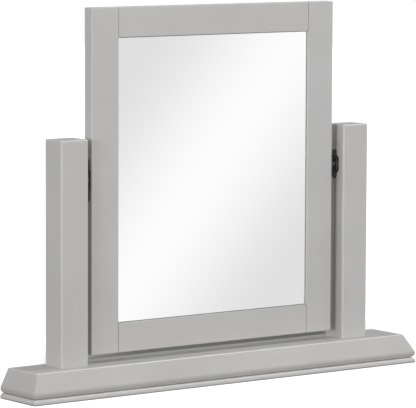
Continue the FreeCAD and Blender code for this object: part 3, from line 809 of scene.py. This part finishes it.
@dataclass(frozen=True)
class ThreadedFixing(Turning):
    """A screw or bolt with its thread: a head, a grooved shank and a point.

    The thread's crests keep to the plain shank of the CAD node.
    """

    drive: Drive = Drive.CROSS
    shank_radius_mm: float = 1.8
    taper_start_mm: float = 0.0
    head_height_mm: float = 1.5
    rim_ease_mm: float = 0.2
    point_mm: float = 3.5
    pitch_mm: float = 1.6
    thread_depth_mm: float = 0.4
    thread_start_mm: float = 3.0
    drive_span_mm: float = 3.6
    drive_width_mm: float = 0.9
    drive_depth_mm: float = 0.9
    # A cross's second slot is a little shallower, as no two faces of the cutters may lie in one plane
    second_slot_share: float = 0.94
    socket_sides: int = 6

    def sizes(self) -> dict[str, float]:
        """Turn the fixing's sizes into metres.

        Returns:
            The sizes, by the names of the tree's inputs.
        """
        sizes_mm = {"Shank Radius": self.shank_radius_mm, "Taper Start": self.taper_start_mm,
                    "Head Height": self.head_height_mm, "Rim Ease": self.rim_ease_mm,
                    "Point": self.point_mm, "Thread Pitch": self.pitch_mm,
                    "Thread Depth": self.thread_depth_mm, "Thread Start": self.thread_start_mm,
                    "Drive Span": self.drive_span_mm, "Drive Width": self.drive_width_mm,
                    "Drive Depth": self.drive_depth_mm}
        return {title: size * MM for title, size in sizes_mm.items()}

    def radius(self, tree: Tree, size: Sockets, along: Socket, angle: Socket) -> Socket:
        """The head's flank, then the shank with a right-hand groove, then the point.

        Args:
            tree: the tree that gets the rule.
            size: the tree's inputs.
            along: how far along the axis a point lies.
            angle: how far round the axis it lies.

        Returns:
            How far from the axis it lies.
        """
        head = add_node(tree, "ShaderNodeMapRange", links={
            "Value": along, "From Min": size["Taper Start"], "From Max": size["Head Height"],
            "To Min": size["Radius"], "To Max": size["Shank Radius"]}).outputs["Result"]
        rim = add_node(tree, "ShaderNodeMapRange", values={"To Max": 0.0}, links={
            "Value": along, "From Max": size["Rim Ease"], "To Min": size["Rim Ease"]}).outputs["Result"]
        eased = add_node(tree, "ShaderNodeMath", operation="SUBTRACT",
                         links={0: head, 1: rim}).outputs["Value"]
        turns = add_node(tree, "ShaderNodeMath", operation="DIVIDE",
                         links={0: along, 1: size["Thread Pitch"]})
        phase = add_node(tree, "ShaderNodeMath", operation="MULTIPLY_ADD", values={1: -1.0 / FULL_TURN},
                         links={0: angle, 2: turns.outputs["Value"]})
        wave = add_node(tree, "ShaderNodeMath", operation="PINGPONG", values={1: HALF},
                        links={0: phase.outputs["Value"]})
        full = add_node(tree, "ShaderNodeMath", operation="ADD",
                        links={0: size["Thread Start"], 1: size["Thread Pitch"]})
        cut = add_node(tree, "ShaderNodeMapRange", values={"To Max": 1.0 / HALF}, links={
            "Value": along, "From Min": size["Thread Start"], "From Max": full.outputs["Value"]})
        groove = add_node(tree, "ShaderNodeMath", operation="MULTIPLY",
                          links={0: wave.outputs["Value"], 1: cut.outputs["Result"]})
        deep = add_node(tree, "ShaderNodeMath", operation="MULTIPLY",
                        links={0: groove.outputs["Value"], 1: size["Thread Depth"]})
        body = add_node(tree, "ShaderNodeMath", operation="SUBTRACT",
                        links={0: eased, 1: deep.outputs["Value"]}).outputs["Value"]
        shoulder = add_node(tree, "ShaderNodeMath", operation="SUBTRACT",
                            links={0: size["Length"], 1: size["Point"]})
        tip = add_node(tree, "ShaderNodeMapRange", values={"To Min": 1.0, "To Max": 0.0}, links={
            "Value": along, "From Min": shoulder.outputs["Value"], "From Max": size["Length"]})
        return add_node(tree, "ShaderNodeMath", operation="MULTIPLY",
                        links={0: body, 1: tip.outputs["Result"]}).outputs["Value"]

    def cutters(self, tree: Tree, size: Sockets) -> list[Socket]:
        """Shape the recess of the driver, sunk to its depth from the head's face.

        Args:
            tree: the tree that gets the cutters.
            size: the tree's inputs.

        Returns:
            The cutters: one hexagon, or the two slots of a cross.
        """
        if self.drive is Drive.HEXAGON:
            span_per_radius = 2.0 * math.cos(math.pi / self.socket_sides)
            corner = add_node(tree, "ShaderNodeMath", operation="DIVIDE", links={0: size["Drive Span"]},
                              values={1: span_per_radius})
            deep = self.twice(tree, size["Drive Depth"], 1.0)
            socket = add_node(tree, "GeometryNodeMeshCylinder", values={"Vertices": self.socket_sides},
                              links={"Radius": corner.outputs["Value"], "Depth": deep})
            return [socket.outputs["Mesh"]]
        slots = []
        for wide, thin, share in (("Drive Span", "Drive Width", 1.0),
                                  ("Drive Width", "Drive Span", self.second_slot_share)):
            box = add_node(tree, "ShaderNodeCombineXYZ", links={
                "X": size[wide], "Y": size[thin], "Z": self.twice(tree, size["Drive Depth"], share)})
            slots.append(add_node(tree, "GeometryNodeMeshCube", links={"Size": box.outputs["Vector"]}))
        return [slot.outputs["Mesh"] for slot in slots]

    def twice(self, tree: Tree, depth: Socket, share: float) -> Socket:
        """Twice a share of a depth, as a cutter's middle lies on the head's face."""
        return add_node(tree, "ShaderNodeMath", operation="MULTIPLY", links={0: depth},
                        values={1: 2.0 * share}).outputs["Value"]


@dataclass(frozen=True)
class PlainTurning(Turning):
    """A dowel or a pad: a round piece with eased ends, and flutes where it has them."""

    ease_mm: float = 0.8
    flutes: int = 0
    flute_depth_mm: float = 0.0

    def sizes(self) -> dict[str, float]:
        """The piece's sizes in metres, and its count of flutes."""
        return {"Ease": self.ease_mm * MM, "Flutes": float(self.flutes),
                "Flute Depth": self.flute_depth_mm * MM}

    def radius(self, tree: Tree, size: Sockets, along: Socket, angle: Socket) -> Socket:
        """A quarter round at each end, and grooves between the flutes' crests.

        Args:
            tree: the tree that gets the rule.
            size: the tree's inputs.
            along: how far along the axis a point lies.
            angle: how far round the axis it lies.

        Returns:
            How far from the axis it lies.
        """
        rest = add_node(tree, "ShaderNodeMath", operation="SUBTRACT", links={0: size["Length"], 1: along})
        edge = add_node(tree, "ShaderNodeMath", operation="MINIMUM",
                        links={0: along, 1: rest.outputs["Value"]})
        short = add_node(tree, "ShaderNodeMapRange", values={"To Min": 1.0, "To Max": 0.0}, links={
            "Value": edge.outputs["Value"], "From Max": size["Ease"]}).outputs["Result"]
        square = add_node(tree, "ShaderNodeMath", operation="MULTIPLY", links={0: short, 1: short})
        left = add_node(tree, "ShaderNodeMath", operation="SUBTRACT", values={0: 1.0},
                        links={1: square.outputs["Value"]})
        swell = add_node(tree, "ShaderNodeMath", operation="SQRT", links={0: left.outputs["Value"]})
        drawn_in = add_node(tree, "ShaderNodeMath", operation="SUBTRACT", values={0: 1.0},
                            links={1: swell.outputs["Value"]})
        fall = add_node(tree, "ShaderNodeMath", operation="MULTIPLY",
                        links={0: drawn_in.outputs["Value"], 1: size["Ease"]})
        eased = add_node(tree, "ShaderNodeMath", operation="SUBTRACT",
                         links={0: size["Radius"], 1: fall.outputs["Value"]})
        turn = add_node(tree, "ShaderNodeMath", operation="MULTIPLY", links={0: angle, 1: size["Flutes"]})
        wave = add_node(tree, "ShaderNodeMath", operation="COSINE", links={0: turn.outputs["Value"]})
        groove = add_node(tree, "ShaderNodeMapRange", links={
            "Value": wave.outputs["Value"], "To Max": size["Flute Depth"]})
        return add_node(tree, "ShaderNodeMath", operation="SUBTRACT", links={
            0: eased.outputs["Value"], 1: groove.outputs["Result"]}).outputs["Value"]


FLUTED_DOWEL = PlainTurning(sides=96, rows=40, flutes=16, flute_depth_mm=0.3)
PLATE_SCREW = ThreadedFixing(sides=24, rows=90, thread_start_mm=4.0)


@dataclass
class SubAssembly(ABC):
    """Pieces that move together on one body of the frame."""

    body: str

    @abstractmethod
    def build(self) -> None:
        """Make and dress the pieces."""

    def dress(self, finish: Finish, *nodes: str) -> None:
        """Give CAD nodes a finish.

        Args:
            finish: the finish.
            *nodes: the names of the nodes.
        """
        for node in nodes:
            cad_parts[node].material_slots[0].material = finish.material()
            LOG.info("%s: %s", node, finish.name)

    def mount(self, piece: bpy.types.Object, slot: str, node: str) -> None:
        """Let a new piece stand for a CAD node.

        Args:
            piece: the new piece.
            slot: the record's material slot; not used.
            node: the CAD node that it replaces.
        """
        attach(piece, self.body)
        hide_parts(node)
        LOG.info("%s: replaces %s, %d faces", piece.name, node, len(piece.data.polygons))


@dataclass
class Base(SubAssembly):
    """The moulded board on its plinth, with the pads, screws and bolts beneath."""

    # The base's grey is painted a little darker than the uprights', as painted shade, and its arrises paler,
    # as a painted highlight along the ridge
    paint: Finish = SatinPaint("satin_paint_along", deep="#A7A6A4", pale="#ADACAA", thin="#CBCAC7",
                               arris_turn=(0.12, 0.29))
    # Paler arrises on the plinth: a painted highlight along its nose
    plinth_paint: Finish = SatinPaint("satin_paint_on_plinth", thin="#C6C5C2")
    pad: Turning = PlainTurning(sides=64, rows=14, ease_mm=0.35)
    screw: Turning = ThreadedFixing(sides=24, rows=120, pitch_mm=1.8, thread_start_mm=8.0)
    bolt: Turning = ThreadedFixing(
        sides=30, rows=520, drive=Drive.HEXAGON, shank_radius_mm=3.0, taper_start_mm=2.8,
        head_height_mm=3.0, rim_ease_mm=0.4, point_mm=0.8, pitch_mm=1.0, thread_depth_mm=0.5,
        thread_start_mm=30.0, drive_span_mm=4.0, drive_depth_mm=2.0)

    def build(self) -> None:
        """Dress the boards and turn the small pieces."""
        self.dress(self.paint, "base_moulded_board")
        self.dress(self.plinth_paint, "base_plinth_board")
        self.mount(self.pad.build("pressed_felt_pads", places("felt_pads", Z_AXIS), PRESSED_FELT),
                   "felt", "felt_pads")
        self.mount(self.screw.build("threaded_board_screws", places("board_screws", Z_AXIS), BRIGHT_ZINC),
                   "plated_steel", "board_screws")
        self.mount(self.bolt.build("threaded_post_bolts", places("post_bolts", Z_AXIS), BRIGHT_ZINC),
                   "plated_steel", "post_bolts")


@dataclass
class Posts(SubAssembly):
    """The two square posts and the dowels that seat them."""

    paint: Finish = SatinPaint("satin_paint_upright", grain=Grain.ALONG_Z)
    wood: Finish = BareBeech("bare_beech_upright")
    dowel: Turning = FLUTED_DOWEL

    def build(self) -> None:
        """Dress the posts and turn the dowels."""
        self.dress(self.paint, "left_post", "right_post")
        self.mount(self.dowel.build("fluted_post_dowels", places("post_dowels", Z_AXIS), self.wood),
                   "beech_dowel", "post_dowels")


@dataclass
class MirrorFrame(SubAssembly):
    """Stiles, rails, their dowels, the panel behind the mirror and its tape."""

    panel_paint: Finish = RolledPaint("rolled_paint_on_fibreboard")
    wood: Finish = BareBeech("bare_beech_along", grain=Grain.ALONG_X)
    dowel: Turning = FLUTED_DOWEL

    def build(self) -> None:
        """Dress the boards, with the joints where the stiles end, and turn the dowels."""
        seam_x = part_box("right_stile")[0][X_AXIS]
        opening_z = (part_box("bottom_rail")[1][Z_AXIS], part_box("top_rail")[0][Z_AXIS])
        for name, grain, nodes in (
                ("satin_paint_on_stiles", Grain.ALONG_Z, ("left_stile", "right_stile")),
                ("satin_paint_on_rails", Grain.ALONG_X, ("top_rail", "bottom_rail"))):
            self.dress(SatinPaint(name, grain=grain, seam_x=seam_x, opening_z=opening_z), *nodes)
        self.dress(self.panel_paint, "back_panel")
        self.dress(WHITE_TAPE, "mirror_tape")
        self.mount(self.dowel.build("fluted_frame_dowels", places("frame_dowels", X_AXIS), self.wood),
                   "beech_dowel", "frame_dowels")


class PaneSide(Enum):
    """The sides of the pane, as the places of their finishes on its mesh."""

    SILVER = 0
    EDGE = 1
    BACKING = 2


@dataclass
class MirrorPane(SubAssembly):
    """The silvered pane: a slab with a ground arris, its silver in front and backing paint behind."""

    arris: float = 0.6 * MM
    silver: Finish = SilveredGlass("silvered_float_glass")
    edge: Finish = GroundGlass("ground_float_glass_edge")

    def build(self) -> None:
        """Build the slab in four rings between its faces."""
        low, high = (Vector(corner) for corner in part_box("mirror_glass"))
        rings = ((low.y, self.arris), (low.y + self.arris, 0.0),
                 (high.y - self.arris, 0.0), (high.y, self.arris))
        slab = bmesh.new()
        loops = []
        for y, inset in rings:
            left, right, bottom, top = low.x + inset, high.x - inset, low.z + inset, high.z - inset
            corners = ((left, bottom), (right, bottom), (right, top), (left, top))
            loops.append([slab.verts.new((x, y, z)) for x, z in corners])
        slab.faces.new(loops[0]).material_index = PaneSide.SILVER.value
        slab.faces.new(reversed(loops[-1])).material_index = PaneSide.BACKING.value
        for near, far in zip(loops, loops[1:]):
            for i, corner in enumerate(near):
                wall = slab.faces.new((near[i - 1], far[i - 1], far[i], corner))
                wall.material_index = PaneSide.EDGE.value
        bmesh.ops.recalc_face_normals(slab, faces=slab.faces)
        mesh = bpy.data.meshes.new("silvered_pane")
        slab.to_mesh(mesh)
        slab.free()
        for finish in (self.silver, self.edge, BACKING_PAINT):
            mesh.materials.append(finish.material())
        pane = bpy.data.objects.new("silvered_pane", mesh)
        bpy.context.scene.collection.objects.link(pane)
        self.mount(pane, "mirror", "mirror_glass")


@dataclass
class PivotSeats(SubAssembly):
    """What stays on the posts: plates, washers and the plates' screws."""

    screw: Turning = PLATE_SCREW

    def build(self) -> None:
        """Dress the seats and turn their screws."""
        self.dress(BLACK_LACQUER, "left_post_plate", "right_post_plate")
        self.dress(GREY_NYLON, "left_friction_washer", "right_friction_washer")
        self.dress(BRIGHT_ZINC, "left_spring_washer", "right_spring_washer")
        self.mount(self.screw.build("threaded_post_plate_screws", places("post_plate_screws", X_AXIS),
                                    BLACK_LACQUER), "black_hardware", "post_plate_screws")


@dataclass
class PivotStuds(SubAssembly):
    """What turns with the frame: plates, studs, nuts and the plates' screws."""

    screw: Turning = PLATE_SCREW

    def build(self) -> None:
        """Dress the studs and turn their plates' screws."""
        self.dress(BLACK_LACQUER, "left_frame_plate", "right_frame_plate")
        self.dress(BLACK_LACQUER, "left_pivot_stud", "right_pivot_stud")
        self.dress(BRIGHT_ZINC, "left_lock_nut", "right_lock_nut")
        self.mount(self.screw.build("threaded_frame_plate_screws", places("frame_plate_screws", X_AXIS),
                                    BLACK_LACQUER), "black_hardware", "frame_plate_screws")


@dataclass(frozen=True)
class Lamp:
    """A broad, far lamp: where it stands round the object from the front, positive to the right.

    A strength of pi on a face square to it renders a colour as it is written. A fill lamp leaves no glare.
    """

    name: str
    azimuth_deg: float
    elevation_deg: float
    strength: float
    spread_deg: float
    fill: bool = False

    def build(self) -> bpy.types.Object:
        """Add the lamp.

        Returns:
            The lamp's object.
        """
        turn, lift = math.radians(self.azimuth_deg), math.radians(self.elevation_deg)
        towards = Vector((math.sin(turn) * math.cos(lift), -math.cos(turn) * math.cos(lift), math.sin(lift)))
        light = bpy.data.lights.new(self.name, "SUN")
        light.energy = self.strength
        light.angle = math.radians(self.spread_deg)
        lamp = bpy.data.objects.new(self.name, light)
        lamp.rotation_euler = towards.to_track_quat("Z", "Y").to_euler()
        lamp.visible_glossy = not self.fill
        bpy.context.scene.collection.objects.link(lamp)
        return lamp


class Lit(Enum):
    """How a lamp treats one object: it lights that alone, or all but that."""

    ALONE = "INCLUDE"
    SPARED = "EXCLUDE"


@dataclass
class Studio:
    """Pale floor, soft lamps and the camera at the photograph's viewing angle."""

    image_width_px: float = 416.0
    sensor_width_mm: float = 36.0
    focal_px: float = 3251.36
    aim: tuple[float, float, float] = (-12.0 * MM, 3.92 * MM, 260.2 * MM)
    distance: float = 4746.4 * MM
    azimuth_deg: float = 37.14
    elevation_deg: float = 5.91
    roll_deg: float = 0.23
    view_limit: float = 100.0
    floor_radius: float = 9.0
    floor_sides: int = 96
    floor_bounce: float = 0.12
    floor_seen: float = 0.95
    sky_light: float = 0.13
    back_glow: float = 0.36
    back_edge: float = 0.3
    # Degrees round and up, strength, and degrees of spread
    lamps: tuple[Lamp, ...] = (
        Lamp("front_lamp", -3.0, 5.5, 2.7, 42.0),
        Lamp("left_lamp", -71.0, 5.0, 1.08, 14.0),
        Lamp("left_wall", -100.0, 12.0, 1.32, 50.0, fill=True),
        Lamp("right_top_lamp", 75.0, 50.0, 0.98, 30.0),
        Lamp("top_lamp", 0.0, 88.0, 1.0, 20.0),
        Lamp("right_wall", 92.0, 12.0, 0.8, 30.0, fill=True),
        Lamp("back_wall", 176.0, 14.0, 1.2, 24.0, fill=True),
    )
    # From the camera's side, so that the shadow falls behind the object
    floor_lamp: Lamp = Lamp("floor_lamp", -37.0, 42.0, 5.3, 14.0)
    band_turn_deg: float = 34.0
    # Across the band, as the sine of an angle
    band_centre: float = -0.0057
    band_reach: float = 0.0385
    band_glow: tuple[float, float] = (0.765, 1.0)

    def build(self) -> None:
        """Set the floor and its own lamp, the sky, the object's lamps and the camera."""
        floor = self.floor()
        self.sky()
        alone = self.linked("floor_alone", floor, Lit.ALONE)
        self.floor_lamp.build().light_linking.receiver_collection = alone
        others = self.linked("all_but_floor", floor, Lit.SPARED)
        for lamp in self.lamps:
            lamp.build().light_linking.receiver_collection = others
        self.camera()
        bpy.context.scene.view_settings.view_transform = "Standard"

    def linked(self, name: str, thing: bpy.types.Object, lit: Lit) -> bpy.types.Collection:
        """Name what a lamp lights.

        Args:
            name: the collection's name.
            thing: the object in question.
            lit: whether a lamp lights it alone or all but that.

        Returns:
            The collection that a lamp is linked to.
        """
        collection = bpy.data.collections.new(name)
        collection.objects.link(thing)
        collection.collection_objects[0].light_linking.link_state = lit.value
        return collection

    def floor(self) -> bpy.types.Object:
        """Lay a wide pale floor that keeps the shadow.

        Returns:
            The floor.
        """
        disc = bmesh.new()
        bmesh.ops.create_circle(disc, cap_ends=True, radius=self.floor_radius, segments=self.floor_sides)
        mesh = bpy.data.meshes.new("floor")
        disc.to_mesh(mesh)
        disc.free()
        floor = bpy.data.objects.new("floor", mesh)
        bpy.context.scene.collection.objects.link(floor)
        material = bpy.data.materials.new("pale_floor")
        material.use_nodes = True
        tree = material.node_tree
        tree.nodes.clear()
        path = add_node(tree, "ShaderNodeLightPath").outputs
        bounced = add_node(tree, "ShaderNodeBsdfDiffuse", values={"Color": grey(self.floor_bounce)})
        seen = add_node(tree, "ShaderNodeBsdfDiffuse", values={"Color": grey(self.floor_seen)})
        mixed = add_node(tree, "ShaderNodeMixShader", links={
            0: path["Is Camera Ray"], 1: bounced.outputs["BSDF"], 2: seen.outputs["BSDF"]})
        add_node(tree, "ShaderNodeOutputMaterial", links={"Surface": mixed.outputs["Shader"]})
        mesh.materials.append(material)
        floor.visible_glossy = False
        return floor

    def sky(self) -> None:
        """White to the camera, a soft diagonal glow to the mirror and the sheen, and a faint even light."""
        world = bpy.data.worlds.new("studio")
        bpy.context.scene.world = world
        world.use_nodes = True
        tree = world.node_tree
        tree.nodes.clear()
        path = add_node(tree, "ShaderNodeLightPath").outputs
        direction = add_node(tree, "ShaderNodeTexCoord").outputs["Generated"]
        backward = add_node(tree, "ShaderNodeSeparateXYZ", links={0: direction}).outputs["Y"]
        behind = add_node(tree, "ShaderNodeMapRange", interpolation_type="SMOOTHSTEP",
                          links={"Value": backward},
                          values={"From Min": -self.back_edge, "From Max": self.back_edge}).outputs["Result"]
        even = add_node(tree, "ShaderNodeBackground",
                        values={"Color": grey(1.0), "Strength": self.sky_light})
        glow = add_node(tree, "ShaderNodeMapRange", values={"To Max": self.back_glow},
                        links={"Value": behind, "To Min": self.band(tree, direction)})
        mirrored = add_node(tree, "ShaderNodeBackground", values={"Color": grey(1.0)},
                            links={"Strength": glow.outputs["Result"]})
        white = add_node(tree, "ShaderNodeBackground", values={"Color": grey(1.0), "Strength": 1.0})
        shiny = add_node(tree, "ShaderNodeMath", operation="MAXIMUM",
                         links={0: path["Is Glossy Ray"], 1: path["Is Transmission Ray"]})
        lit = add_node(tree, "ShaderNodeMixShader", links={
            0: shiny.outputs["Value"], 1: even.outputs["Background"], 2: mirrored.outputs["Background"]})
        seen = add_node(tree, "ShaderNodeMixShader", links={
            0: path["Is Camera Ray"], 1: lit.outputs["Shader"], 2: white.outputs["Background"]})
        add_node(tree, "ShaderNodeOutputWorld", links={"Surface": seen.outputs["Shader"]})

    def band(self, tree: Tree, direction: Socket) -> Socket:
        """What shines in the mirror: white along a soft diagonal band, a little duller on both sides.

        Args:
            tree: the world's nodes.
            direction: the way that is looked.

        Returns:
            The brightness that way.
        """
        turn, lift = math.radians(self.azimuth_deg), math.radians(self.elevation_deg)
        slant = math.radians(self.band_turn_deg)
        rightward = Vector((math.cos(turn), math.sin(turn), 0.0))
        upward = Vector((math.sin(turn) * math.sin(lift), -math.cos(turn) * math.sin(lift), math.cos(lift)))
        across = add_node(tree, "ShaderNodeVectorMath", operation="DOT_PRODUCT", links={0: direction},
                          values={1: math.cos(slant) * rightward - math.sin(slant) * upward})
        off = add_node(tree, "ShaderNodeMath", operation="SUBTRACT", links={0: across.outputs["Value"]},
                       values={1: self.band_centre})
        away = add_node(tree, "ShaderNodeMath", operation="ABSOLUTE", links={0: off.outputs["Value"]})
        return add_node(tree, "ShaderNodeMapRange", interpolation_type="SMOOTHSTEP",
                        links={"Value": away.outputs["Value"]},
                        values={"From Max": self.band_reach, "To Min": self.band_glow[1],
                                "To Max": self.band_glow[0]}).outputs["Result"]

    def camera(self) -> None:
        """The camera, fitted to the photograph's edges and corners."""
        turn, lift, roll = (math.radians(a) for a in (self.azimuth_deg, self.elevation_deg, self.roll_deg))
        ahead = Vector((math.sin(turn) * math.cos(lift), math.cos(turn) * math.cos(lift), -math.sin(lift)))
        level = Vector((math.cos(turn), -math.sin(turn), 0.0))
        upright = level.cross(ahead)
        right = math.cos(roll) * level + math.sin(roll) * upright
        up = math.cos(roll) * upright - math.sin(roll) * level
        data = bpy.data.cameras.new("camera")
        data.sensor_width = self.sensor_width_mm
        data.lens = self.focal_px * self.sensor_width_mm / self.image_width_px
        data.clip_end = self.view_limit
        camera = bpy.data.objects.new("camera", data)
        axes = Matrix((right, up, -ahead)).transposed().to_4x4()
        camera.matrix_world = Matrix.Translation(Vector(self.aim) - self.distance * ahead) @ axes
        bpy.context.scene.collection.objects.link(camera)
        bpy.context.scene.camera = camera


def main() -> None:
    """Build the sub-assemblies in order and set the studio."""
    assemblies = (Base("stand"), Posts("stand"), PivotSeats("stand"),
                  MirrorFrame("mirror"), MirrorPane("mirror"), PivotStuds("mirror"))
    for assembly in assemblies:
        assembly.build()
    Studio().build()


if __name__ == "__main__":
    logging.basicConfig(level=logging.INFO, format="%(name)s: %(message)s")
    main()
